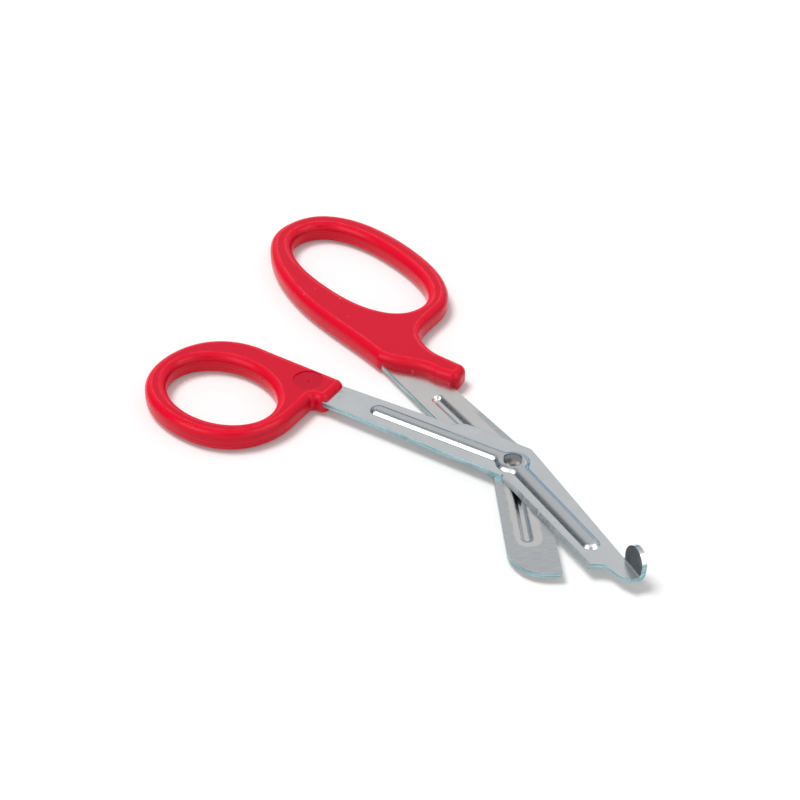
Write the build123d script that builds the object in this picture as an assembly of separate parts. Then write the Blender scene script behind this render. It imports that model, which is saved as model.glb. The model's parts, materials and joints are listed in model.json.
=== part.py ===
from build123d import *

import math
import os

# Angled bandage scissors, lying flat and partly open. Millimetres and degrees.
# Each lever is drawn in its own plan frame: the pivot is the origin, the arm runs along X
# with the handle at -X, and Z = 0 is the plane in which the two blades slide.

# Stamped sheet steel of both levers
STEEL_THICKNESS = 1.5
SLIDE_GAP = 0.04
RIB_HEIGHT = 1.1
RIB_WIDTH = 4.8
RIB_WALL_ANGLE = 45.0
RIB_BLEND = 2.0
RIB_TOP_ROUND = 2.1
RIB_FOOT_ROUND = 0.4
GROOVE_MARGIN = 0.75
GROOVE_MOUTH_ROUND = 1.5
GROOVE_FLOOR_ROUND = 0.6
BOSS_DIAMETER = 9.4
BEVEL_RUN = 0.55
HEEL_ROUND = 1.6
EDGE_BREAK = 0.2

# Guard lever: half widths of the arm, then the blade
GUARD_ARM_START = 60.0
GUARD_LOWER_AT_HANDLE = 4.6
GUARD_LOWER_AT_PIVOT = 6.2
GUARD_UPPER_AT_HANDLE = 4.75
GUARD_UPPER_AT_SHOULDER = 5.85
GUARD_UPPER_AT_PIVOT = 7.85
GUARD_SHOULDER_START = 24.0
GUARD_SHOULDER_LENGTH = 5.7
GUARD_SHOULDER_CREST = 8.25
GUARD_HEEL = 1.3
GUARD_SPINE_ANGLE = 32.2
GUARD_SPINE_LENGTH = 50.0
GUARD_EDGE_ANGLE = 27.9
GUARD_EDGE_SETBACK = 7.7
GUARD_RIB_REACH = 45.4
GUARD_RIB_LINE = 0.4
GUARD_BLADE_RIB_ANGLE = 28.8
GUARD_BLADE_RIB_SETBACK = 8.8
GUARD_TANG_REACH = 80.0
GUARD_TANG_WIDTH = 3.4
GUARD_TANG_LINE = 2.3

# Guard foot: a round lobe of the sheet, folded up along the back of the blade
FOOT_DIAMETER = 8.2
FOOT_REACH = 4.4
FOOT_RISE = 3.5
FOOT_LEAN = 8.0
FOOT_BEND_RADIUS = 0.5

# Plain lever: half widths of the arm, then the blade
PLAIN_ARM_START = 59.0
PLAIN_LOWER_AT_HANDLE = 5.5
PLAIN_LOWER_AT_PIVOT = 6.4
PLAIN_UPPER_AT_HANDLE = 5.7
PLAIN_UPPER_AT_PIVOT = 7.0
PLAIN_UPPER_STRAIGHT = 50.0
PLAIN_HEEL = 1.5
PLAIN_EDGE_ANGLE = 26.3
PLAIN_EDGE_OVERHANG = 13.6
PLAIN_SPINE_ANGLE = 27.2
PLAIN_SPINE_LENGTH = 32.6
PLAIN_TIP_CURVE = ((0.19, 0.13), (0.45, 0.205), (0.725, 0.154), (0.93, 0.045))
PLAIN_RIB_REACH = 38.9
PLAIN_RIB_LINE = -0.5
PLAIN_BLADE_RIB_ANGLE = 26.6
PLAIN_BLADE_RIB_SETBACK = 0.7
PLAIN_TANG_REACH = 80.0
PLAIN_TANG_WIDTH = 4.0
PLAIN_TANG_LINE = 3.0
CORNER_ROUND = 0.7

# Moulded handles
HANDLE_THICKNESS = 6.6
HANDLE_EDGE_ROUND = 2.4
NOSE_ROUND = 2.6

# Thumb loop, in the guard lever's frame
THUMB_HOLE_LENGTH = 35.0
THUMB_HOLE_WIDTH = 26.3
THUMB_HOLE_SQUARENESS = 2.0
THUMB_TILT = -11.3
THUMB_HOLE_REACH = 84.6
THUMB_HOLE_DROP = 16.1
THUMB_WALL_END = 5.7
THUMB_WALL_SIDE = 7.6
THUMB_RISE = 1.85
THUMB_SQUARENESS = 2.18
THUMB_NOSE_START = 57.2
THUMB_NOSE_TOP = 5.75
THUMB_NOSE_BOTTOM = 5.1
THUMB_NOSE_CORNER = 2.5
THUMB_NECK_ROUND = 1.0
MARK_DIAMETER = 8.6
MARK_DEPTH = 0.25
MARK_SETBACK = 9.0
GATE_DIAMETER = 0.9
GATE_HEIGHT = 0.12

# Finger loop, in the plain lever's frame
FINGER_HOLE_LENGTH = 53.7
FINGER_HOLE_WIDTH = 25.6
FINGER_HOLE_SQUARENESS = 2.25
FINGER_TILT = 7.6
FINGER_HOLE_FRONT = 73.75
FINGER_HOLE_RISE = 12.5
FINGER_WALL_END = 6.0
FINGER_LOOP_SHIFT = 0.4
FINGER_WALL_SIDE = 6.6
FINGER_SQUARENESS = 2.3
FINGER_NOSE_LENGTH = 30.6
FINGER_NOSE_DROP = 18.7

# Pivot rivet
RIVET_DIAMETER = 3.8
RIVET_HEAD_DIAMETER = 5.1
RIVET_RIM = 0.45
RIVET_DOME = 0.75
RIVET_TAIL = 0.4
RUNNING_CLEARANCE = 0.05

# Pose: the lead of the plain lever with the handles closed, its opening, and the lie
CLOSED_LEAD = 10.5
OPENING = 15.5
LAY_TURN = 18.0

BOSS_TOP = SLIDE_GAP / 2 + STEEL_THICKNESS + RIB_HEIGHT


def polar(length, angle):
    """Plan vector of a length at an angle from the X axis."""
    return Vector(length * math.cos(math.radians(angle)), length * math.sin(math.radians(angle)))


def stadium(start, end, width):
    """Slot-shaped sketch whose round ends reach from one plan point to another."""
    run = end - start
    middle = (start + end) * 0.5
    turn = math.degrees(math.atan2(run.Y, run.X))
    return Pos(middle.X, middle.Y) * SlotOverall(run.length, width, rotation=turn)


def superellipse(centre, length, width, squareness, tilt, angles):
    """Points of a rounded oblong loop at the given angles around its centre."""
    points = []
    for angle in angles:
        cosine = math.cos(math.radians(angle))
        sine = math.sin(math.radians(angle))
        along = length / 2 * math.copysign(abs(cosine) ** (2 / squareness), cosine)
        across = width / 2 * math.copysign(abs(sine) ** (2 / squareness), sine)
        points.append(centre + Vector(along, across).rotate(Axis.Z, tilt))
    return points


def loop_hole(centre, length, width, squareness, tilt):
    """Closed smooth face of a finger hole."""
    angles = [22.5 * step for step in range(16)]
    points = superellipse(centre, length, width, squareness, tilt, angles)
    return make_face(Spline(*points, periodic=True))


def rib_sketch(arm_end, blade_end, width, boss_diameter, blend):
    """Plan of the stiffening rib: along the arm, round the pivot and along the blade."""
    arm = stadium(arm_end, Vector(0, arm_end.Y), width)
    blade = stadium(blade_end.normalized() * (-width / 2), blade_end, width)
    plan = Sketch() + [arm, blade, Circle(boss_diameter / 2)]
    corners = [v for v in plan.vertices() if Vector(v.X, v.Y).length < boss_diameter]
    return fillet(corners, blend)


def groove_sketch(arm_end, blade_end):
    """Plan of the groove pressed in behind a rib."""
    shorten = 1 - GROOVE_MARGIN / arm_end.length
    blade_shorten = 1 - GROOVE_MARGIN / blade_end.length
    width = RIB_WIDTH - 2 * GROOVE_MARGIN
    recess = BOSS_DIAMETER - 2 * GROOVE_MARGIN
    return rib_sketch(arm_end * shorten, blade_end * blade_shorten, width, recess, RIB_BLEND)


def emboss(plan, level, upward):
    """Raised or sunken sloping form of a rib plan, starting at a level."""
    height = RIB_HEIGHT if upward else -RIB_HEIGHT
    return extrude(Pos(0, 0, level) * plan, amount=height, taper=RIB_WALL_ANGLE)


def soften(body, foot_level, crown_level, foot_round, crown_round):
    """Body with the foot and the crown of a rib or groove rounded."""
    crown = body.edges().filter_by_position(Axis.Z, crown_level - 0.001, crown_level + 0.001)
    body = fillet(crown, crown_round)
    flats = body.faces().filter_by(Plane.XY)
    flats = flats.filter_by_position(Axis.Z, foot_level - 0.001, foot_level + 0.001)
    foot = [edge for flat in flats for wire in flat.inner_wires() for edge in wire.edges()]
    return fillet(foot, foot_round)


def break_edges(sheet, level, places):
    """Sheet with the sharpness taken off the sides that lie nearest to the given places."""
    rim = sheet.edges().filter_by_position(Axis.Z, level - 0.001, level + 0.001)
    sides = [rim.sort_by_distance(Vector(place.X, place.Y, level))[0] for place in places]
    return fillet(sides, EDGE_BREAK)


def press_rib(sheet, arm_end, blade_end, inner, outer):
    """Sheet with the rib raised on its outer face and its groove pressed in behind."""
    upward = outer > inner
    rise = RIB_HEIGHT if upward else -RIB_HEIGHT
    sheet += emboss(rib_sketch(arm_end, blade_end, RIB_WIDTH, BOSS_DIAMETER, RIB_BLEND), outer, upward)
    sheet = soften(sheet, outer, outer + rise, RIB_FOOT_ROUND, RIB_TOP_ROUND)
    sheet -= emboss(groove_sketch(arm_end, blade_end), inner, upward)
    return soften(sheet, inner, inner + rise, GROOVE_MOUTH_ROUND, GROOVE_FLOOR_ROUND)


def bevel_wedge(heel, angle, length, inward, level, rise):
    """Wedge that grinds a cutting edge: nothing at the level, the full run at the rise."""
    along = polar(1, angle)
    across = along.rotate(Axis.Z, 90 * inward)
    plane = Plane(origin=heel, x_dir=across, z_dir=along)
    up = 1 if plane.to_local_coords(Vector(0, 0, 1) + heel).Y > 0 else -1
    past = 2 * rise
    section = Polyline(
        (0, up * level),
        (-BEVEL_RUN, up * level),
        (-BEVEL_RUN, up * (level + past)),
        (2 * BEVEL_RUN, up * (level + past)),
        close=True,
    )
    return extrude(plane * make_face(section), amount=length)


def guard_points():
    """Named corners of the guard lever's outline."""
    heel_edge = Vector(0, -GUARD_LOWER_AT_PIVOT)
    heel_spine = Vector(GUARD_HEEL, GUARD_UPPER_AT_PIVOT)
    edge_end = heel_edge + polar(GUARD_SPINE_LENGTH - GUARD_EDGE_SETBACK, -GUARD_EDGE_ANGLE)
    fold = heel_spine + polar(GUARD_SPINE_LENGTH, -GUARD_SPINE_ANGLE)
    return heel_edge, heel_spine, edge_end, fold


def foot_place(fold):
    """Frame of the guard foot: X along the fold, Y out of the blade's back."""
    return Location((fold.X, fold.Y, 0), (0, 0, -GUARD_SPINE_ANGLE))


def guard_outline():
    """Plan of the flat guard lever, from its tang to the fold of its foot."""
    heel_edge, heel_spine, edge_end, fold = guard_points()
    place = foot_place(fold)
    lobe = [(-0.1, -0.96), (0.13, -0.67), (0.33, -0.59), (0.585, -0.54), (0.785, -0.46),
            (0.935, -0.35), (1.025, -0.205), (1.06, -0.04)]
    lobe = [(place * Pos(u * FOOT_DIAMETER, v * FOOT_DIAMETER)).position for u, v in lobe]
    far = (place * Pos(FOOT_REACH + FOOT_DIAMETER / 2, STEEL_THICKNESS)).position
    near = (place * Pos(0.1 * FOOT_DIAMETER, STEEL_THICKNESS)).position
    crest = Vector(GUARD_SHOULDER_LENGTH - GUARD_SHOULDER_START, GUARD_SHOULDER_CREST)
    shoulder = Vector(-GUARD_SHOULDER_START, GUARD_UPPER_AT_SHOULDER)
    lower = Vector(-GUARD_ARM_START, -GUARD_LOWER_AT_HANDLE)
    upper = Vector(-GUARD_ARM_START, GUARD_UPPER_AT_HANDLE)
    half = GUARD_TANG_WIDTH / 2
    tang = [
        upper,
        Vector(-GUARD_TANG_REACH, GUARD_TANG_LINE + half),
        Vector(-GUARD_TANG_REACH, GUARD_TANG_LINE - half),
        lower - Vector(half, -half),
        lower,
    ]
    outline = [
        Polyline(*tang, heel_edge, edge_end),
        Spline(edge_end, *lobe),
        Polyline(lobe[-1], far, near, fold, heel_spine, crest),
        Spline(crest, shoulder, tangents=[(-1, 0), (-1, 0)]),
        Line(shoulder, upper),
    ]
    plan = make_face(outline)
    corner = plan.vertices().sort_by_distance(heel_spine)[0]
    return fillet(corner, HEEL_ROUND)


def folded_sheet():
    """Sheet bent up along the foot's fold, in the foot's frame."""
    inner = FOOT_BEND_RADIUS
    outer = FOOT_BEND_RADIUS + STEEL_THICKNESS
    reach = 2 * FOOT_DIAMETER
    inside = Vector(0, STEEL_THICKNESS)
    up = polar(reach, 90 - FOOT_LEAN)
    outside = inside + polar(STEEL_THICKNESS, -FOOT_LEAN)
    corner = outside - up * (outside.Y / up.Y)
    flat = make_face(Polyline((-reach, 0), corner, outside + up, inside + up, inside,
                              (-reach, STEEL_THICKNESS), close=True))
    flat = fillet(flat.vertices().sort_by_distance(corner)[0], outer)
    flat = fillet(flat.vertices().sort_by_distance(inside)[0], inner)
    profile = Plane.YZ * flat
    return Pos(-reach / 2, 0, 0) * extrude(profile, amount=2 * reach)


def foot_disc():
    """Round plate of the foot, leaning out of the blade, in the foot's frame."""
    radius = FOOT_DIAMETER / 2
    disc = Pos(FOOT_REACH, FOOT_RISE) * Circle(radius)
    disc += Pos(FOOT_REACH, 0) * Rectangle(radius, FOOT_RISE, align=(Align.MIN, Align.MIN))
    return Rot(-FOOT_LEAN, 0, 0) * extrude(Plane.XZ * disc, amount=2 * STEEL_THICKNESS, both=True)


def make_guard_blade():
    """Upper steel lever with its folded guard foot."""
    heel_edge, heel_spine, edge_end, fold = guard_points()
    level = SLIDE_GAP / 2
    place = Pos(0, 0, level) * foot_place(fold)
    arm_end = Vector(-GUARD_RIB_REACH, GUARD_RIB_LINE)
    blade_end = polar(GUARD_SPINE_LENGTH - GUARD_BLADE_RIB_SETBACK, -GUARD_BLADE_RIB_ANGLE)
    sheet = extrude(Pos(0, 0, level) * guard_outline(), amount=STEEL_THICKNESS)
    arm = Vector(-GUARD_ARM_START / 2, 0)
    sides = [
        arm - Vector(0, GUARD_LOWER_AT_PIVOT),
        arm + Vector(0, GUARD_UPPER_AT_PIVOT),
        Vector(GUARD_SHOULDER_LENGTH / 2 - GUARD_SHOULDER_START, GUARD_UPPER_AT_PIVOT),
        (heel_spine + fold) * 0.5,
    ]
    sheet = break_edges(sheet, level + STEEL_THICKNESS, sides)
    sheet = press_rib(sheet, arm_end, blade_end, level, level + STEEL_THICKNESS)
    bend = place * folded_sheet()
    foot = bend & (place * foot_disc())
    reach = FOOT_DIAMETER
    outside = place * Pos(reach / 2, 0, 0) * Box(
        2 * reach, 2 * STEEL_THICKNESS, 4 * STEEL_THICKNESS, align=(Align.CENTER, Align.MIN, Align.CENTER)
    )
    sheet = (sheet - outside) + (sheet & outside & bend) + foot
    edge = (edge_end - heel_edge).length
    sheet -= bevel_wedge(heel_edge, -GUARD_EDGE_ANGLE, edge, 1, level, STEEL_THICKNESS)
    bore = Cylinder(RIVET_DIAMETER / 2, 4 * BOSS_TOP)
    return sheet - bore


def plain_points():
    """Named corners of the plain lever's outline."""
    heel_edge = Vector(PLAIN_HEEL, PLAIN_UPPER_AT_PIVOT)
    heel_spine = Vector(0, -PLAIN_LOWER_AT_PIVOT)
    edge_end = heel_edge + polar(PLAIN_SPINE_LENGTH + PLAIN_EDGE_OVERHANG, -PLAIN_EDGE_ANGLE)
    spine_end = heel_spine + polar(PLAIN_SPINE_LENGTH, -PLAIN_SPINE_ANGLE)
    return heel_edge, heel_spine, edge_end, spine_end


def plain_outline():
    """Plan of the flat plain lever, from its tang to its blunt rounded end."""
    heel_edge, heel_spine, edge_end, spine_end = plain_points()
    chord = edge_end - spine_end
    bulge = chord.rotate(Axis.Z, -90)
    tip = [spine_end + chord * a + bulge * b for a, b in PLAIN_TIP_CURVE]
    lower = Vector(-PLAIN_ARM_START, -PLAIN_LOWER_AT_HANDLE)
    upper = Vector(-PLAIN_UPPER_STRAIGHT, PLAIN_UPPER_AT_HANDLE)
    half = PLAIN_TANG_WIDTH / 2
    tang = [
        upper,
        Vector(-PLAIN_TANG_REACH, half - PLAIN_TANG_LINE),
        Vector(-PLAIN_TANG_REACH, -half - PLAIN_TANG_LINE),
        lower - Vector(half, -half / 2),
        lower,
    ]
    outline = [
        Polyline(*tang, heel_spine, spine_end),
        Spline(spine_end, *tip, edge_end),
        Polyline(edge_end, heel_edge, upper),
    ]
    plan = make_face(outline)
    heel = plan.vertices().sort_by_distance(heel_edge)[0]
    plan = fillet(heel, HEEL_ROUND)
    corner = plan.vertices().sort_by_distance(edge_end)[0]
    return fillet(corner, CORNER_ROUND)


def make_plain_blade():
    """Lower steel lever."""
    heel_edge, heel_spine, edge_end, spine_end = plain_points()
    level = -SLIDE_GAP / 2
    arm_end = Vector(-PLAIN_RIB_REACH, PLAIN_RIB_LINE)
    blade_end = polar(PLAIN_SPINE_LENGTH - PLAIN_BLADE_RIB_SETBACK, -PLAIN_BLADE_RIB_ANGLE)
    sheet = extrude(Pos(0, 0, level) * plain_outline(), amount=-STEEL_THICKNESS)
    sides = [Vector(-PLAIN_ARM_START / 2, -PLAIN_LOWER_AT_PIVOT), (heel_spine + spine_end) * 0.5]
    sheet = break_edges(sheet, level, sides)
    sheet = press_rib(sheet, arm_end, blade_end, level, level - STEEL_THICKNESS)
    edge = (edge_end - heel_edge).length
    sheet -= bevel_wedge(heel_edge, -PLAIN_EDGE_ANGLE, edge, -1, level, -STEEL_THICKNESS)
    bore = Cylinder(RIVET_DIAMETER / 2 + RUNNING_CLEARANCE, 4 * BOSS_TOP)
    return sheet - bore


def mould(outline, hole):
    """Handle body with rounded edges from its plan and its finger hole."""
    body = extrude(outline, amount=HANDLE_THICKNESS / 2, both=True)
    body -= extrude(hole, amount=HANDLE_THICKNESS, both=True)
    rims = body.faces().sort_by(Axis.Z)
    edges = rims[0].edges() + rims[-1].edges()
    return fillet(edges, HANDLE_EDGE_ROUND)


def thumb_outline():
    """Plan of the thumb handle: a round loop with a short nose over the arm."""
    centre = Vector(-THUMB_HOLE_REACH, THUMB_RISE - THUMB_HOLE_DROP)
    length = THUMB_HOLE_LENGTH + 2 * THUMB_WALL_END
    width = THUMB_HOLE_WIDTH + 2 * THUMB_WALL_SIDE
    angles = [97 + 18 * step for step in range(16)]
    ring = superellipse(centre, length, width, THUMB_SQUARENESS, THUMB_TILT, angles)
    front = -THUMB_NOSE_START
    top = Vector(front, THUMB_NOSE_TOP)
    bottom = Vector(front, -THUMB_NOSE_BOTTOM)
    neck = Vector(ring[-1].X, -THUMB_NOSE_BOTTOM)
    plan = make_face([
        Line(top, ring[0]),
        Spline(*ring),
        Polyline(ring[-1], neck, bottom, top),
    ])
    plan = fillet(plan.vertices().sort_by_distance(neck)[0], THUMB_NECK_ROUND)
    plan = fillet(plan.vertices().sort_by_distance(top)[0], NOSE_ROUND)
    return fillet(plan.vertices().sort_by_distance(bottom)[0], THUMB_NOSE_CORNER)


def make_thumb_handle(tang):
    """Small red loop, moulded over the guard lever's tang."""
    hole = loop_hole(Vector(-THUMB_HOLE_REACH, -THUMB_HOLE_DROP), THUMB_HOLE_LENGTH, THUMB_HOLE_WIDTH,
                     THUMB_HOLE_SQUARENESS, THUMB_TILT)
    body = mould(thumb_outline(), hole)
    floor = HANDLE_THICKNESS / 2 - MARK_DEPTH
    reach = THUMB_NOSE_START + MARK_SETBACK
    body -= Pos(-reach, 0, floor) * Cylinder(
        MARK_DIAMETER / 2, MARK_DEPTH * 2, align=(Align.CENTER, Align.CENTER, Align.MIN))
    body += Pos(-reach, 0, floor) * Cylinder(
        GATE_DIAMETER / 2, GATE_HEIGHT, align=(Align.CENTER, Align.CENTER, Align.MIN))
    return body - tang


def finger_hole_centre():
    """Middle of the finger hole, set back from its front end."""
    return Vector(-FINGER_HOLE_FRONT - FINGER_HOLE_LENGTH / 2, FINGER_HOLE_RISE)


def finger_outline():
    """Plan of the finger handle: an oblong loop, a finger rest and a long nose."""
    centre = finger_hole_centre() - Vector(FINGER_LOOP_SHIFT, 0)
    length = FINGER_HOLE_LENGTH + 2 * FINGER_WALL_END
    width = FINGER_HOLE_WIDTH + 2 * FINGER_WALL_SIDE
    angles = [222, 200, 180, 160, 140, 120, 100, 80, 60, 42, 24]
    ring = superellipse(centre, length, width, FINGER_SQUARENESS, FINGER_TILT, angles)
    bar = [centre + Vector(u * length / 2, -v * width / 2)
           for u, v in ((0.761, 1.067), (0.274, 1.165), (-0.152, 1.144))]
    tip = centre + Vector(length / 2, 0)
    nose = [tip + Vector(u * FINGER_NOSE_LENGTH, v * FINGER_NOSE_DROP)
            for u, v in ((0.064, 0.102), (0.169, -0.091), (0.349, -0.193), (0.577, -0.144),
                         (0.855, 0.027), (0.982, -0.297), (0.773, -0.481),
                         (0.564, -0.664), (0.371, -0.920), (0.273, -1.0))]
    start = nose[-1]
    plan = make_face([
        Spline(start, *bar, *ring, *nose[:4]),
        Polyline(*nose[3:7]),
        Spline(*nose[6:]),
    ])
    for corner in (nose[4], nose[5], start):
        plan = fillet(plan.vertices().sort_by_distance(corner)[0], NOSE_ROUND)
    return plan


def make_finger_handle(tang):
    """Large red loop, moulded over the plain lever's tang."""
    hole = loop_hole(finger_hole_centre(), FINGER_HOLE_LENGTH, FINGER_HOLE_WIDTH,
                     FINGER_HOLE_SQUARENESS, FINGER_TILT)
    return mould(finger_outline(), hole) - tang


def make_rivet():
    """Rivet with a domed head on top, its shaft and the upset tail below."""
    radius = RIVET_HEAD_DIAMETER / 2
    rim = Pos(0, 0, BOSS_TOP) * Cylinder(radius, RIVET_RIM, align=(Align.CENTER, Align.CENTER, Align.MIN))
    ball = (radius ** 2 + RIVET_DOME ** 2) / (2 * RIVET_DOME)
    crown = BOSS_TOP + RIVET_RIM
    dome = Pos(0, 0, crown + RIVET_DOME - ball) * Sphere(ball)
    dome &= Pos(0, 0, crown) * Cylinder(radius, RIVET_DOME, align=(Align.CENTER, Align.CENTER, Align.MIN))
    tail = Pos(0, 0, -BOSS_TOP - RUNNING_CLEARANCE) * Cylinder(
        radius, RIVET_TAIL, align=(Align.CENTER, Align.CENTER, Align.MAX))
    length = 2 * BOSS_TOP + RUNNING_CLEARANCE
    shaft = Pos(0, 0, -RUNNING_CLEARANCE / 2) * Cylinder(RIVET_DIAMETER / 2, length)
    tail = fillet(tail.edges().sort_by(Axis.Z)[0], RIVET_TAIL / 2)
    return shaft + rim + dome + tail


def main():
    """Build both levers, turn them to the resting pose and write one file per piece."""
    guard_blade = make_guard_blade()
    plain_blade = make_plain_blade()
    turn = Rot(0, 0, -CLOSED_LEAD - OPENING)
    pieces = {
        "guard_blade": guard_blade,
        "thumb_handle": make_thumb_handle(guard_blade),
        "pivot_rivet": make_rivet(),
        "plain_blade": turn * plain_blade,
        "finger_handle": turn * make_finger_handle(plain_blade),
    }
    lie = Rot(0, 0, LAY_TURN)
    pieces = {name: lie * piece for name, piece in pieces.items()}
    box = Compound(list(pieces.values())).bounding_box()
    centre = box.center()
    place = Pos(-centre.X, -centre.Y, -box.min.Z)
    os.makedirs("parts", exist_ok=True)
    for name, piece in pieces.items():
        export_step(place * piece, f"parts/{name}.step")
    print("pivot", place.position, "box", box.size)


if __name__ == "__main__":
    main()
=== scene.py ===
"""Angled bandage scissors: stamped steel levers, moulded red loops and a rivet, on a pale table."""

import json
import logging
import math
from dataclasses import dataclass
from enum import Enum

import bpy
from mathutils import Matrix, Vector


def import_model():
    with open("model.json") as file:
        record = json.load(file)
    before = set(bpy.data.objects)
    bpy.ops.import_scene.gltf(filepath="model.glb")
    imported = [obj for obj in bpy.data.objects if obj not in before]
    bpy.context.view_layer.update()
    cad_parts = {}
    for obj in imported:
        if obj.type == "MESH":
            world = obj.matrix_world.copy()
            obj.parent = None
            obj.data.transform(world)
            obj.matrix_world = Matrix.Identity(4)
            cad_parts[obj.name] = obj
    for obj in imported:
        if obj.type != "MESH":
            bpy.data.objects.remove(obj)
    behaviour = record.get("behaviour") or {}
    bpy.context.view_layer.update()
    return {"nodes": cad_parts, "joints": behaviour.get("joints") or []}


Rgb = tuple[float, float, float]
Plan = tuple[float, float]
Place = tuple[float, float, float]
Mark = tuple[float, float, float, float]
Span = tuple[float, float]
Noise = tuple[float, ...]
log = logging.getLogger("bandage_scissors")

MM = 0.001
WHITE = (1.0, 1.0, 1.0)
MEAN = 0.5
CLOUDY = (0.3, 0.7)


# Small flaws of the handles: place in the lever's plan frame, then radius
FINGER_NICKS = (
    (-89.2, -0.8, 3.25, 0.28),
    (-80.0, -3.6, 3.25, 0.2),
    (-96.8, -8.6, 3.1, 0.26),
    (-99.9, -7.8, 3.1, 0.24),
    (-97.5, -4.4, 3.25, 0.2),
    (-77.5, -11.8, 2.9, 0.3),
    (-50.8, 0.1, 0.3, 0.34),
    (-40.4, 5.6, 0.3, 0.3),
)
THUMB_NICKS = ((-74.5, 4.6, 3.2, 0.22), (-83.0, -13.0, 2.6, 0.22))
THUMB_DIRT = ((-79.0, -4.2, 1.2, 0.34),)


class Role(Enum):
    """Where a shader tree gives its result."""

    SURFACE = "ShaderNodeOutputMaterial"
    WORLD = "ShaderNodeOutputWorld"


class Lever(Enum):
    """The two levers, with the turn of each one's arm from the row frame's X axis, in degrees."""

    GUARD = 18.0
    PLAIN = -8.0


class Wire:
    """A shader socket that takes part in Python expressions."""

    def __init__(self, graph: "Graph", socket: bpy.types.NodeSocket) -> None:
        """Keep the graph that the socket belongs to, and the socket."""
        self.graph = graph
        self.socket = socket

    def math(self, operation: str, *others: "Wire | float") -> "Wire":
        """Result of a Math node on this wire and others.

        Args:
            operation: Name of the Math node's operation.
            others: Further operands, wires or numbers.

        Returns:
            The wire that carries the result.
        """
        return self.graph.node("ShaderNodeMath", {"operation": operation}, [self, *others])

    def __add__(self, other: "Wire | float") -> "Wire":
        """Sum."""
        return self.math("ADD", other)

    __radd__ = __add__

    def __sub__(self, other: "Wire | float") -> "Wire":
        """Difference."""
        return self.math("SUBTRACT", other)

    def __rsub__(self, other: float) -> "Wire":
        """Difference from a number."""
        return self.graph.node("ShaderNodeMath", {"operation": "SUBTRACT"}, [other, self])

    def __mul__(self, other: "Wire | float") -> "Wire":
        """Product."""
        return self.math("MULTIPLY", other)

    __rmul__ = __mul__

    def __abs__(self) -> "Wire":
        """Distance from nought."""
        return self.math("ABSOLUTE")

    def least(self, other: "Wire | float") -> "Wire":
        """Smaller of two values."""
        return self.math("MINIMUM", other)

    def most(self, other: "Wire | float") -> "Wire":
        """Larger of two values."""
        return self.math("MAXIMUM", other)

    def step(self, low: float, high: float) -> "Wire":
        """Smooth rise from 0 at low to 1 at high, or fall where low is above high.

        Args:
            low: Value at which the result is 0.
            high: Value at which the result is 1.

        Returns:
            The wire that carries the share.
        """
        turned = low > high
        ends = (high, low) if turned else (low, high)
        rise = self.graph.node(
            "ShaderNodeMapRange",
            {"interpolation_type": "SMOOTHSTEP"},
            {"Value": self, "From Min": ends[0], "From Max": ends[1]},
        )
        return 1 - rise if turned else rise

    def band(self, low: float, high: float, soft: float) -> "Wire":
        """Share that is 1 between two limits and 0 outside them.

        Args:
            low: Lower limit.
            high: Upper limit.
            soft: Width over which the share changes.

        Returns:
            The wire of the share.
        """
        half = soft / 2
        return self.step(low - half, low + half) * self.step(high + half, high - half)


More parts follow.
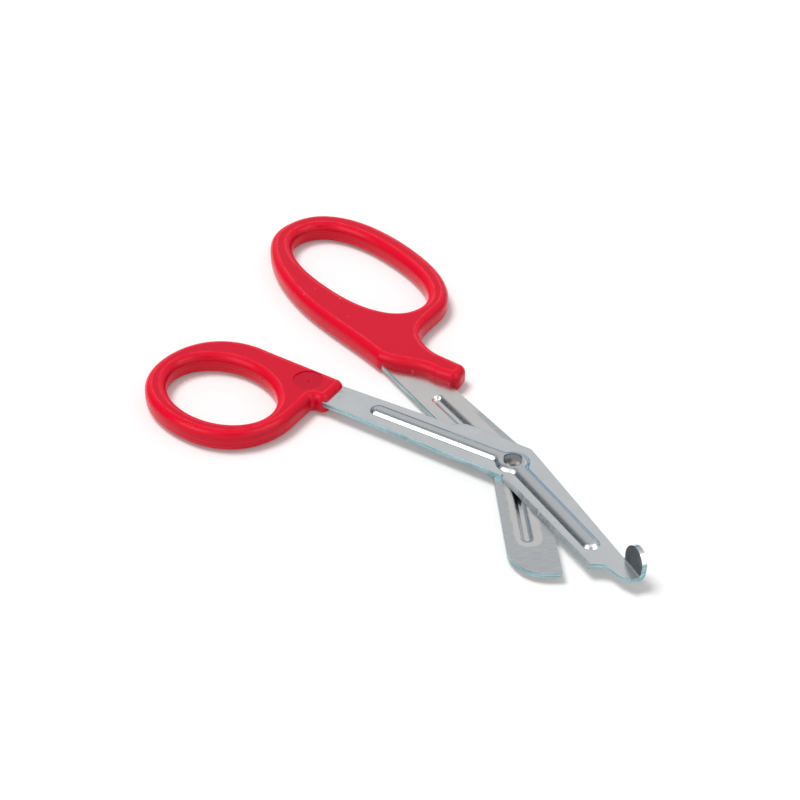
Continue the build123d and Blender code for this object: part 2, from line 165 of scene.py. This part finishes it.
class Graph:
    """A node tree that is written as expressions."""

    def __init__(self, owner: bpy.types.Material | bpy.types.World, role: Role) -> None:
        """Start an empty tree with its output node.

        Args:
            owner: Material or world that owns the tree.
            role: Which output the tree feeds.
        """
        owner.use_nodes = True
        self.tree = owner.node_tree
        self.tree.nodes.clear()
        self.output = self.tree.nodes.new(role.value)

    def node(self, kind: str, settings: dict | None = None, values: dict | list | None = None,
             out: str | int = 0) -> Wire:
        """Add one node.

        Args:
            kind: Type name of the node.
            settings: Properties of the node, set before its sockets.
            values: Numbers, colours or wires for its sockets, by place or by name.
            out: Place or name of the output that is returned.

        Returns:
            The wire of that output.
        """
        node = self.tree.nodes.new(kind)
        for name, setting in (settings or {}).items():
            setattr(node, name, setting)
        pairs = enumerate(values) if isinstance(values, list) else (values or {}).items()
        for key, value in pairs:
            socket = self._socket(node.inputs, key)
            if isinstance(value, Wire):
                self.tree.links.new(value.socket, socket)
            elif socket.type == "RGBA" and len(value) == 3:
                socket.default_value = (*value, 1.0)
            else:
                socket.default_value = value
        return Wire(self, self._socket(node.outputs, out))

    def _socket(self, sockets: bpy.types.bpy_prop_collection, key: str | int) -> bpy.types.NodeSocket:
        """Find a socket of a node.

        Args:
            sockets: Inputs or outputs of the node.
            key: Place, identifier or name of the socket.

        Returns:
            The socket.
        """
        if isinstance(key, int):
            return sockets[key]
        for socket in sockets:
            if socket.identifier == key:
                return socket
        return sockets[key]

    def colour(self, share: Wire | float, under: Wire | Rgb, over: Wire | Rgb) -> Wire:
        """Mix two colours.

        Args:
            share: How much of the second one.
            under: First colour.
            over: Second colour.

        Returns:
            The wire of the mixed colour.
        """
        return self.node("ShaderNodeMix", {"data_type": "RGBA", "blend_type": "MIX"},
                         {"Factor_Float": share, "A_Color": under, "B_Color": over}, "Result_Color")

    def vector(self, operation: str, *operands: Wire | tuple) -> Wire:
        """Vector result of a Vector Math node."""
        return self.node("ShaderNodeVectorMath", {"operation": operation}, list(operands))

    def measure(self, operation: str, *operands: Wire | tuple) -> Wire:
        """Number that a Vector Math node works out from vectors."""
        return self.node("ShaderNodeVectorMath", {"operation": operation}, list(operands), "Value")

    def parts(self, wire: Wire) -> tuple[Wire, Wire, Wire]:
        """The three components of a vector."""
        split = self.node("ShaderNodeSeparateXYZ", None, [wire]).socket.node
        return tuple(Wire(self, socket) for socket in split.outputs)

    def coordinate(self, name: str) -> Wire:
        """Output of a Texture Coordinate node."""
        return self.node("ShaderNodeTexCoord", None, None, name)

    def ray(self, name: str) -> Wire:
        """Output of a Light Path node."""
        return self.node("ShaderNodeLightPath", None, None, name)

    def noise(self, where: Wire, scale: float, detail: float = 2.0, rough: float = 0.5) -> Wire:
        """Value of a Noise texture.

        Args:
            where: Coordinates.
            scale: Cells per unit.
            detail: Octaves.
            rough: Strength of each further octave.

        Returns:
            The wire of the value, about 0.5 on average.
        """
        return self.node("ShaderNodeTexNoise", None,
                         {"Vector": where, "Scale": scale, "Detail": detail, "Roughness": rough}, "Fac")

    def streaks(self, where: Wire, stretch: Place, detail: float = 2.0, rough: float = 0.5) -> Wire:
        """Noise with its own scale along each axis.

        Args:
            where: Coordinates.
            stretch: Cells per unit along each axis.
            detail: Octaves.
            rough: Strength of each further octave.

        Returns:
            The wire of the value, about 0.5 on average.
        """
        return self.noise(self.vector("MULTIPLY", where, stretch), 1.0, detail, rough)

    def spot(self, point: Wire, centre: Place, radius: float, soft: float) -> Wire:
        """Share that is 1 in a round spot.

        Args:
            point: Coordinates of the surface point.
            centre: Middle of the spot.
            radius: Its radius.
            soft: Width of its rim.

        Returns:
            The wire of the share.
        """
        reach = self.measure("DISTANCE", point, centre)
        return reach.step(radius + soft / 2, radius - soft / 2)

    def bump(self, height: Wire, distance: float, strength: float) -> Wire:
        """Normal of a Bump node.

        Args:
            height: Height in units of the distance.
            distance: Height of 1, in metres.
            strength: Share of the effect.

        Returns:
            The wire of the normal.
        """
        values = {"Height": height, "Distance": distance, "Strength": strength}
        return self.node("ShaderNodeBump", None, values, "Normal")

    def result(self, shader: Wire) -> None:
        """Join a shader to the tree's output."""
        self.tree.links.new(shader.socket, self.output.inputs["Surface"])

    def principled(self, values: dict) -> None:
        """Join a Principled shader with the given socket values to the tree's output."""
        self.result(self.node("ShaderNodeBsdfPrincipled", None, values))


def shaded(tone: Rgb, share: float) -> Rgb:
    """A colour times a number."""
    return tuple(part * share for part in tone)


@dataclass(frozen=True)
class PlanFrame:
    """A lever's own plan frame in millimetres: the pivot is its origin, the arm runs along X."""

    pivot: Vector
    lever: Lever

    def point(self, graph: Graph) -> Wire:
        """Coordinates of a surface point in this frame.

        Args:
            graph: Tree that gets the nodes.

        Returns:
            The wire of the coordinates.
        """
        turn = (0.0, 0.0, math.radians(self.lever.value))
        return graph.node("ShaderNodeMapping", {"vector_type": "TEXTURE"},
                          {"Vector": graph.coordinate("Object"), "Location": tuple(self.pivot),
                           "Rotation": turn, "Scale": (MM, MM, MM)})

    def turned(self, graph: Graph, point: Wire, degrees: float) -> Wire:
        """The same point in a frame turned by some degrees round the pivot."""
        return graph.node("ShaderNodeMapping", {"vector_type": "TEXTURE"},
                          {"Vector": point, "Rotation": (0.0, 0.0, math.radians(degrees))})


@dataclass
class SteelSkin:
    """Surface of one steel lever while the layers of its finish are laid on."""

    graph: Graph
    plan: PlanFrame
    point: Wire
    blade: Wire
    tilt: Wire
    rise: Wire
    upright: Wire
    tone: Wire
    shine: Wire
    height: Wire

    def tint(self, share: Wire, tone: Wire | Rgb) -> None:
        """Lay a colour over a share of the surface."""
        self.tone = self.graph.colour(share, self.tone, tone)


@dataclass(frozen=True)
class StampedSteel:
    """Satin stainless sheet, stamped, tumbled and sharpened.

    Lengths are in millimetres. A span is where a share starts and where it is full, or the two
    limits of a band. A noise is its scale, detail and roughness, and a stretch is its cells per
    millimetre along each axis. A tilt is the upward part of the surface's normal.
    """

    flat_tone: Rgb = (0.69, 0.71, 0.72)
    # Painted cool reflection, laid on the cut edges and on the broken corner
    edge_painted_reflection_tone: Rgb = (0.26, 0.38, 0.41)
    bevel_tone: Rgb = (0.64, 0.7, 0.72)
    ground_tone: Rgb = (0.56, 0.58, 0.585)
    fleck_tone: Rgb = (0.2, 0.2, 0.2)
    nose_spot_tone: Rgb = (0.24, 0.25, 0.26)
    roughness: float = 0.24
    least_roughness: float = 0.08
    relief: float = 0.000012
    relief_share: float = 0.6

    # Flat sheet
    clouds: Noise = (0.16, 3.0)
    cloud_shade: float = 0.93
    grain: Noise = (3.2, 3.0, 0.65)
    grain_span: Span = (0.55, 0.8)
    grain_shade: float = 0.8
    dimples: Noise = (0.9, 1.0)

    # Crown of the rib, the broken upper corner of the sheet and the faces of the foot: painted shade on the
    # crown and the foot faces, a painted cool reflection on the corner
    crown_level: Span = (2.2, 2.45)
    crown_tilt: Span = (0.93, 0.99)
    crown_painted_shade: float = 0.68
    corner_level: Span = (1.6, 1.53)
    corner_tilt: Span = (0.25, 0.96)
    fold_angle: float = 32.2
    foot_reach: Span = (43.0, 45.0)
    foot_rise: Span = (0.9, 1.7)
    foot_facing: Span = (0.8, 0.95)
    foot_painted_shade: float = 0.7

    # Cut edges: a painted cool reflection in their colour, over drag marks and shear layers
    upright_tilt: Span = (0.5, 0.2)
    drag_stretch: Place = (2.2, 2.2, 0.25)
    layer_stretch: Place = (0.12, 0.12, 2.4)
    edge_shades: Span = (0.8, 1.5)

    # Blade with its bevel
    blade_angle: float = 28.0
    edge_side: float = -1.0
    bevel_tilt: Span = (0.27, 0.42)
    bevel_band: Span = (4.4, 7.6)
    bevel_start: Span = (2.0, 3.0)
    bevel_stretch: Place = (4.6, 0.4, 0.4)
    bevel_shade: float = 0.45
    worn_band: Span = (11.0, 28.0)

    # Handling marks along the blade, and darker mottled spots on the sheet next to the handle's nose
    fleck_stretch: Place = (0.9, 1.7, 1.0)
    fleck_band: Span = (-4.6, -2.4)
    fleck_run: Span = (15.0, 42.0)
    nose_spot_noise: Noise = (0.8, 3.0, 0.7)
    nose_spots: tuple[Place, ...] = ((-56.4, 2.1, 1.5), (-55.5, 0.0, 1.5))

    # Ground inner face, with its unground oval and the ground strip of the arm
    level_tilt: Span = (0.97, 0.995)
    oval_run: Span = (5.0, 29.7)
    oval_line: float = 0.45
    oval_radius: Span = (3.9, 3.5)
    oval_wobble: float = 1.2
    ground_start: Span = (1.5, 4.0)
    strip_edge: Span = (4.6, 5.0)
    strip_start: Span = (-27.0, -24.0)
    brush_stretch: Place = (4.5, 0.22, 0.2)
    ground_shades: Span = (0.88, 1.14)

    def material(self, name: str, plan: PlanFrame, ground: bool) -> bpy.types.Material:
        """Material of one steel lever.

        Args:
            name: Name of the material.
            plan: Plan frame of the lever.
            ground: Whether the blade's inner face is ground and shows upward.

        Returns:
            The material.
        """
        material = bpy.data.materials.new(name)
        graph = Graph(material, Role.SURFACE)
        skin = self._sheet(graph, plan)
        if ground:
            self._ground_face(skin)
        else:
            self._wear(skin)
            self._foot_faces(skin)
            self._crown(skin)
        self._cut_edges(skin)
        self._bevel(skin)
        graph.principled({
            "Base Color": skin.tone, "Metallic": 1.0, "Roughness": skin.shine.most(self.least_roughness),
            "Normal": graph.bump(skin.height, self.relief, self.relief_share)})
        return material

    def _sheet(self, graph: Graph, plan: PlanFrame) -> SteelSkin:
        """Tumbled flat sheet, the ground for all other layers.

        Args:
            graph: Tree that gets the nodes.
            plan: Plan frame of the lever.

        Returns:
            The surface as it is under the other layers.
        """
        point = plan.point(graph)
        tilt = graph.coordinate("Normal")
        rise = graph.parts(tilt)[2]
        cloud = graph.noise(point, *self.clouds)
        grain = graph.noise(point, *self.grain)
        tone = graph.colour(cloud.step(*CLOUDY) * 0.5, self.flat_tone,
                            shaded(self.flat_tone, self.cloud_shade))
        tone = graph.colour(grain.step(*self.grain_span) * 0.25, tone,
                            shaded(self.flat_tone, self.grain_shade))
        shine = self.roughness + (grain - MEAN) * 0.12 + (cloud - MEAN) * 0.08
        height = grain * 0.25 + graph.noise(point, *self.dimples) * 0.5
        return SteelSkin(graph, plan, point, plan.turned(graph, point, -self.blade_angle), tilt, rise,
                         abs(rise).step(*self.upright_tilt), tone, shine, height)

    def _foot_faces(self, skin: SteelSkin) -> None:
        """Paint shade on the foot's two faces, which stand upright but are no cut edges.

        Args:
            skin: Surface that gets the layer.
        """
        graph = skin.graph
        along, _, up = graph.parts(skin.plan.turned(graph, skin.point, -self.fold_angle))
        turn = math.radians(90.0 + skin.plan.lever.value - self.fold_angle)
        facing = abs(graph.measure("DOT_PRODUCT", skin.tilt, (math.cos(turn), math.sin(turn), 0.0)))
        face = facing.step(*self.foot_facing) * up.step(*self.foot_rise) * along.step(*self.foot_reach)
        # Painted shade: the foot's upright faces are darkened
        skin.tint(face, shaded(self.flat_tone, self.foot_painted_shade))
        skin.upright = skin.upright * (1 - face)

    def _crown(self, skin: SteelSkin) -> None:
        """Paint shade on the rib's crown and a cool reflection on the broken corner of the sheet.

        Args:
            skin: Surface that gets the layer.
        """
        level = skin.graph.parts(skin.point)[2]
        crown = level.step(*self.crown_level) * skin.rise.step(*self.crown_tilt)
        # Painted shade: the rib's upward-facing crown is darkened
        skin.tint(crown * 0.5, shaded(self.flat_tone, self.crown_painted_shade))
        # Painted cool reflection along the sheet's broken upper corner
        skin.tint(level.step(*self.corner_level) * skin.rise.band(*self.corner_tilt, 0.06), self.edge_painted_reflection_tone)

    def _cut_edges(self, skin: SteelSkin) -> None:
        """Sheared and tumbled edges of the sheet: a painted cool reflection in their colour, with faint
        upright drag marks.

        Args:
            skin: Surface that gets the layer.
        """
        drag = skin.graph.streaks(skin.point, self.drag_stretch)
        layer = skin.graph.streaks(skin.point, self.layer_stretch)
        share = layer.step(0.38, 0.62) * 0.75 + drag.step(0.35, 0.7) * 0.25
        dark, light = (shaded(self.edge_painted_reflection_tone, shade) for shade in self.edge_shades)
        # Painted cool reflection: the upright cut edges take a cool grey-blue colour
        skin.tint(skin.upright, skin.graph.colour(share, dark, light))
        skin.height = skin.height + (drag + layer) * skin.upright * 1.2

    def _bevel(self, skin: SteelSkin) -> None:
        """Ground cutting bevel with fine cross scratches.

        Args:
            skin: Surface that gets the layer.
        """
        along, over, _ = skin.graph.parts(skin.blade)
        slope = abs(skin.rise).band(*self.bevel_tilt, 0.03)
        mask = slope * (over * self.edge_side).band(*self.bevel_band, 0.2) * along.step(*self.bevel_start)
        scratches = skin.graph.streaks(skin.blade, self.bevel_stretch, 1.5)
        patchy = scratches.step(0.6, 0.46) * (along.band(*self.worn_band, 4.0) * 0.6 + 0.2)
        skin.tint(mask, skin.graph.colour(patchy, self.bevel_tone, shaded(self.bevel_tone, self.bevel_shade)))
        skin.shine = skin.shine + mask * 0.26
        skin.height = skin.height + scratches * mask * 3.0

    def _wear(self, skin: SteelSkin) -> None:
        """Neutral handling marks along the blade, and darker mottled spots on the sheet next to the handle's
        nose.

        Args:
            skin: Surface that gets the layer.
        """
        along, over, _ = skin.graph.parts(skin.blade)
        flecks = skin.graph.streaks(skin.blade, self.fleck_stretch, 3.0, 0.7)
        place = over.band(*self.fleck_band, 0.8) * along.band(*self.fleck_run, 4.0)
        place = place * skin.rise.step(0.9, 0.99)
        skin.tint(flecks.step(0.6, 0.72) * place * 0.55, self.fleck_tone)
        cloudy = skin.graph.noise(skin.point, *self.nose_spot_noise).step(0.45, 0.7)
        for centre in self.nose_spots:
            nose_spot = skin.graph.spot(skin.point, centre, 0.6, 1.6)
            skin.tint(nose_spot * cloudy * 0.5, self.nose_spot_tone)

    def _ground_face(self, skin: SteelSkin) -> None:
        """Cross-ground inner face of the blade, with an unground oval round the groove.

        Args:
            skin: Surface that gets the layer.
        """
        graph = skin.graph
        along, over, _ = graph.parts(skin.blade)
        near, far = self.oval_run
        run = along - along.most(near).least(far)
        side = over - self.oval_line
        reach = (run * run + side * side).math("SQRT")
        wobble = (graph.noise(skin.blade, 0.35) - MEAN) * self.oval_wobble
        oval = (reach + wobble).step(*self.oval_radius)
        level = skin.rise.step(*self.level_tilt)
        x, y, _ = graph.parts(skin.point)
        strip = y.step(*self.strip_edge) * x.step(*self.strip_start) * level
        ground = (level * along.step(*self.ground_start) * (1 - oval)).most(strip)
        brush = graph.streaks(skin.blade, self.brush_stretch, 3.0, 0.6)
        dark, light = (shaded(self.ground_tone, shade) for shade in self.ground_shades)
        skin.tint(ground, graph.colour(brush.step(*CLOUDY), dark, light))
        skin.shine = skin.shine + ground * 0.14
        skin.height = skin.height + brush * ground * 2.5


@dataclass(frozen=True)
class MouldedPlastic:
    """Glossy red injection-moulded plastic, in the same units as the steel."""

    tone: Rgb = (0.79, 0.002, 0.026)
    deep_tone: Rgb = (0.72, 0.002, 0.024)
    # Pale colour of the real nicks and seam, and of the painted highlight line along the crease
    pale_mark_and_highlight_tone: Rgb = (0.85, 0.12, 0.15)
    # Painted shade: colour of the handle faces that look straight up
    flat_tone: Rgb = (0.62, 0.001, 0.022)
    # Painted shade on the floor of the sunken disc
    sunk_painted_shade_tone: Rgb = (0.52, 0.001, 0.02)
    dirt_tone: Rgb = (0.02, 0.01, 0.01)
    roughness: float = 0.2
    specular: float = 0.2
    relief: float = 0.00001
    relief_share: float = 0.7
    swirl_stretch: Place = (0.05, 0.09, 0.12)
    ripple: Noise = (0.28,)
    peel: Noise = (2.4,)
    flat_tilt: Span = (0.993, 0.999)
    sunk_level: Span = (3.27, 3.18)
    crease_tilt: Span = (0.978, 0.996)
    crease_noise: Noise = (0.45, 3.0)
    seam_band: Span = (-0.09, 0.09)
    seam_tilt: Span = (0.5, 0.3)
    faint: float = 0.2
    nick_share: float = 0.7
    nick_depth: float = 5.0

    def material(self, name: str, plan: PlanFrame, nicks: tuple[Mark, ...],
                 dirt: tuple[Mark, ...]) -> bpy.types.Material:
        """Material of one handle.

        Args:
            name: Name of the material.
            plan: Plan frame of the handle's lever.
            nicks: Pale nicks as a place and a radius in the plan frame.
            dirt: Dark specks in the same form.

        Returns:
            The material.
        """
        material = bpy.data.materials.new(name)
        graph = Graph(material, Role.SURFACE)
        point = plan.point(graph)
        level = graph.parts(point)[2]
        rise = graph.parts(graph.coordinate("Normal"))[2]
        swirl = graph.streaks(point, self.swirl_stretch, 3.0)
        peel = graph.noise(point, *self.peel)
        tone = graph.colour(swirl.step(*CLOUDY) * 0.4, self.tone, self.deep_tone)
        flat = rise.step(*self.flat_tilt)
        # Painted shade: faces that look straight up are darker than the rounded sides
        tone = graph.colour(flat, tone, self.flat_tone)
        # Painted shade: the upward floor of the sunken disc is darker still
        tone = graph.colour(flat * level.step(*self.sunk_level), tone, self.sunk_painted_shade_tone)
        # Painted highlight: a pale line where the flat top turns into the rounded side, broken up by noise
        patchy = graph.noise(point, *self.crease_noise).step(0.3, 0.62)
        crease_highlight = rise.band(*self.crease_tilt, 0.008) * patchy
        tone = graph.colour(crease_highlight * self.faint, tone, self.pale_mark_and_highlight_tone)
        seam = level.band(*self.seam_band, 0.1) * abs(rise).step(*self.seam_tilt)
        tone = graph.colour(seam * self.faint, tone, self.pale_mark_and_highlight_tone)
        height = graph.noise(point, *self.ripple) * 4.0 + peel * 0.35 + seam * 3.0
        for *centre, radius in nicks:
            nick = graph.spot(point, tuple(centre), radius, radius)
            tone = graph.colour(nick * self.nick_share, tone, self.pale_mark_and_highlight_tone)
            height = height - nick * self.nick_depth
        for *centre, radius in dirt:
            tone = graph.colour(graph.spot(point, tuple(centre), radius, radius * 0.6), tone, self.dirt_tone)
        shine = self.roughness + (peel - MEAN) * 0.1 + (swirl - MEAN) * 0.1 + flat * 0.12
        graph.principled({
            "Base Color": tone, "Roughness": shine, "Specular IOR Level": self.specular,
            "Normal": graph.bump(height, self.relief, self.relief_share)})
        return material


@dataclass(frozen=True)
class PolishedSteel:
    """Turned and pressed rivet steel, in the same units as the sheet."""

    tone: Rgb = (0.27, 0.265, 0.26)
    roughness: float = 0.17
    relief: float = 0.00001
    relief_share: float = 0.5
    ring_pitch: float = 38.0
    pits: Noise = (1.6, 3.0, 0.6)
    pit_shade: float = 0.7

    def material(self, name: str, plan: PlanFrame) -> bpy.types.Material:
        """Material of the rivet: fine turning rings and a few pits.

        Args:
            name: Name of the material.
            plan: Plan frame whose origin is the rivet's axis.

        Returns:
            The material.
        """
        material = bpy.data.materials.new(name)
        graph = Graph(material, Role.SURFACE)
        point = plan.point(graph)
        x, y, _ = graph.parts(point)
        reach = (x * x + y * y).math("SQRT")
        rings = (reach * self.ring_pitch).math("SINE") * 0.5 + 0.5
        pits = graph.noise(point, *self.pits)
        tone = graph.colour(pits.step(0.5, 0.75) * 0.5, self.tone, shaded(self.tone, self.pit_shade))
        graph.principled({
            "Base Color": tone, "Metallic": 1.0, "Roughness": self.roughness + (pits - MEAN) * 0.1,
            "Normal": graph.bump(rings * 0.25 + pits, self.relief, self.relief_share)})
        return material


@dataclass
class SteelLever:
    """One stamped lever and its blade."""

    node: bpy.types.Object
    plan: PlanFrame
    finish: StampedSteel
    ground: bool

    def dress(self) -> None:
        """Give the lever its steel."""
        wear(self.node, self.finish.material(f"{self.node.name}_steel", self.plan, self.ground))


@dataclass
class LoopHandle:
    """One moulded loop."""

    node: bpy.types.Object
    plan: PlanFrame
    finish: MouldedPlastic
    nicks: tuple[Mark, ...] = ()
    dirt: tuple[Mark, ...] = ()

    def dress(self) -> None:
        """Give the loop its plastic."""
        wear(self.node, self.finish.material(f"{self.node.name}_plastic", self.plan, self.nicks, self.dirt))


@dataclass
class PivotRivet:
    """The rivet that both levers turn on."""

    node: bpy.types.Object
    plan: PlanFrame
    finish: PolishedSteel

    def dress(self) -> None:
        """Give the rivet its polish."""
        wear(self.node, self.finish.material("rivet_polish", self.plan))


def wear(node: bpy.types.Object, material: bpy.types.Material) -> None:
    """Put a material in every slot of a node.

    Args:
        node: Piece that is dressed.
        material: What it wears.
    """
    for slot in node.material_slots:
        slot.material = material
    log.info("%s wears %s", node.name, material.name)


@dataclass(frozen=True)
class Panel:
    """A round card or flag of the studio that shows only in reflections.

    Its edge lies between two cosines from its middle.
    """

    toward: Place
    rim: float
    full: float
    light: Rgb


PANELS = (
    Panel((-0.797, -0.46, 0.389), 0.8, 0.98, (0.15, 0.175, 0.2)),
    Panel((-0.797, -0.46, 0.389), 0.982, 0.998, (0.05, 0.065, 0.08)),
    Panel((-0.42, -0.15, 0.9), 0.9, 0.99, (0.33, 0.34, 0.35)),
    Panel((0.5, -0.42, 0.76), 0.93, 0.985, (0.3, 0.3, 0.31)),
    Panel((-0.2, -0.68, 0.7), 0.945, 0.975, (3.6, 3.6, 3.6)),
    Panel((0.56, 0.32, 0.765), 0.935, 0.97, (3.6, 3.6, 3.6)),
    Panel((0.93, 0.13, 0.32), 0.86, 0.95, (1.9, 1.9, 1.9)),
)


@dataclass
class Studio:
    """Pale table, white surroundings, one soft lamp and the camera."""

    pivot: Vector
    lens: float = 110.8
    sensor: float = 36.0
    clip: Span = (0.05, 50.0)
    distance: float = 0.688
    azimuth: float = 50.0
    elevation: float = 37.0
    target_offset: Plan = (-0.042504, -0.003967)
    table_size: float = 6.0
    table_drop: float = 0.00002
    table_tone: Rgb = (0.82, 0.82, 0.82)
    table_lift: float = 0.14
    ambient: float = 0.45
    back_tone: Rgb = (0.75, 0.75, 0.755)
    front_tone: Rgb = (1.15, 1.15, 1.15)
    horizon_tone: Rgb = (0.09, 0.31, 0.52)
    horizon_height: Span = (0.4, 0.2)
    horizon_facing: Span = (0.0, -0.3)
    key_from: Place = (-0.32, 0.14, 0.92)
    key_spread: float = 27.0
    key_strength: float = 2.17

    def toward_camera(self) -> Vector:
        """Direction from the object to the camera."""
        a = math.radians(self.azimuth)
        e = math.radians(self.elevation)
        return Vector((math.sin(a) * math.cos(e), -math.cos(a) * math.cos(e), math.sin(e)))

    def camera(self) -> None:
        """Create the camera at the photograph's angle."""
        data = bpy.data.cameras.new("camera")
        data.lens = self.lens
        data.sensor_width = self.sensor
        data.clip_start, data.clip_end = self.clip
        camera = self._placed("camera", data)
        target = self.pivot + Vector((*self.target_offset, 0.0))
        camera.location = target + self.toward_camera() * self.distance
        self._aim(camera, -self.toward_camera())
        bpy.context.scene.camera = camera

    def table(self) -> None:
        """Plain pale table top that shows white and keeps the object's shadow."""
        half = self.table_size / 2
        mesh = bpy.data.meshes.new("table")
        mesh.from_pydata([(-half, -half, 0), (half, -half, 0), (half, half, 0), (-half, half, 0)], [],
                         [(0, 1, 2, 3)])
        table = self._placed("table", mesh)
        table.location.z = -self.table_drop
        material = bpy.data.materials.new("table_top")
        graph = Graph(material, Role.SURFACE)
        matt = graph.node("ShaderNodeBsdfDiffuse", None, {"Color": self.table_tone})
        shown = self._seen(graph) * self.table_lift
        lift = graph.node("ShaderNodeEmission", None, {"Color": WHITE, "Strength": shown})
        graph.result(graph.node("ShaderNodeAddShader", None, [matt, lift]))
        mesh.materials.append(material)

    def world(self) -> None:
        """White to the camera, a studio of cards and flags in reflections, and even ambient light."""
        world = bpy.data.worlds.new("studio")
        bpy.context.scene.world = world
        graph = Graph(world, Role.WORLD)
        ray = graph.coordinate("Generated")
        height = graph.parts(ray)[2]
        camera = self.toward_camera()
        facing = self._lean(graph, ray, Vector((camera.x, camera.y, 0.0)))
        tone = graph.colour(facing.step(-0.5, 0.45), self.back_tone, self.front_tone)
        horizon = height.step(*self.horizon_height) * facing.step(*self.horizon_facing)
        tone = graph.colour(horizon, tone, self.horizon_tone)
        for panel in PANELS:
            lean = self._lean(graph, ray, Vector(panel.toward))
            tone = graph.colour(lean.step(panel.rim, panel.full), tone, panel.light)
        tone = graph.colour(graph.ray("Is Glossy Ray"), (self.ambient,) * 3, tone)
        tone = graph.colour(graph.ray("Is Camera Ray"), tone, WHITE)
        graph.result(graph.node("ShaderNodeBackground", None, {"Color": tone, "Strength": 1.0}))

    def lamp(self) -> None:
        """Soft overhead lamp, far enough away to light the whole table evenly."""
        toward = self.toward_camera()
        ahead = Vector((-toward.x, -toward.y, 0.0)).normalized()
        right = Vector((ahead.y, -ahead.x, 0.0))
        across, onward, up = self.key_from
        place = across * right + onward * ahead + Vector((0.0, 0.0, up))
        data = bpy.data.lights.new("key", "SUN")
        data.angle = math.radians(self.key_spread)
        data.energy = self.key_strength
        lamp = self._placed("key", data)
        lamp.location = self.pivot + place
        self._aim(lamp, -place)
        lamp.visible_glossy = False

    def build(self) -> None:
        """Set up the whole studio."""
        self.camera()
        self.table()
        self.world()
        self.lamp()

    def _placed(self, name: str, data: bpy.types.ID) -> bpy.types.Object:
        """Put an object of the studio in the scene.

        Args:
            name: Name of the object.
            data: Its mesh, camera or lamp.

        Returns:
            The object.
        """
        item = bpy.data.objects.new(name, data)
        bpy.context.scene.collection.objects.link(item)
        return item

    def _aim(self, item: bpy.types.Object, direction: Vector) -> None:
        """Turn a camera or lamp to look along a direction."""
        item.rotation_mode = "QUATERNION"
        item.rotation_quaternion = direction.to_track_quat("-Z", "Y")

    def _seen(self, graph: Graph) -> Wire:
        """Share of rays that show the surroundings: from the camera, glossy or through glass."""
        shown = graph.ray("Is Camera Ray").most(graph.ray("Is Glossy Ray"))
        return shown.most(graph.ray("Is Transmission Ray"))

    def _lean(self, graph: Graph, ray: Wire, direction: Vector) -> Wire:
        """Cosine between a ray and a direction."""
        return graph.measure("DOT_PRODUCT", ray, tuple(direction.normalized()))


def main() -> None:
    """Dress the scissors and set them in the studio."""
    logging.basicConfig(level=logging.INFO, format="%(message)s")
    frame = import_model()
    pivot = Vector(frame["joints"][0]["pos_m"])
    guard = PlanFrame(pivot, Lever.GUARD)
    plain = PlanFrame(pivot, Lever.PLAIN)
    nodes = frame["nodes"]
    guard_steel = StampedSteel()
    plain_steel = StampedSteel(flat_tone=(0.71, 0.698, 0.688), blade_angle=26.6, edge_side=1.0)
    plastic = MouldedPlastic()
    SteelLever(nodes["guard_blade"], guard, guard_steel, False).dress()
    SteelLever(nodes["plain_blade"], plain, plain_steel, True).dress()
    LoopHandle(nodes["thumb_handle"], guard, plastic, THUMB_NICKS, THUMB_DIRT).dress()
    LoopHandle(nodes["finger_handle"], plain, plastic, FINGER_NICKS).dress()
    PivotRivet(nodes["pivot_rivet"], guard, PolishedSteel()).dress()
    Studio(pivot).build()
    bpy.context.scene.view_settings.view_transform = "Standard"


if __name__ == "__main__":
    main()
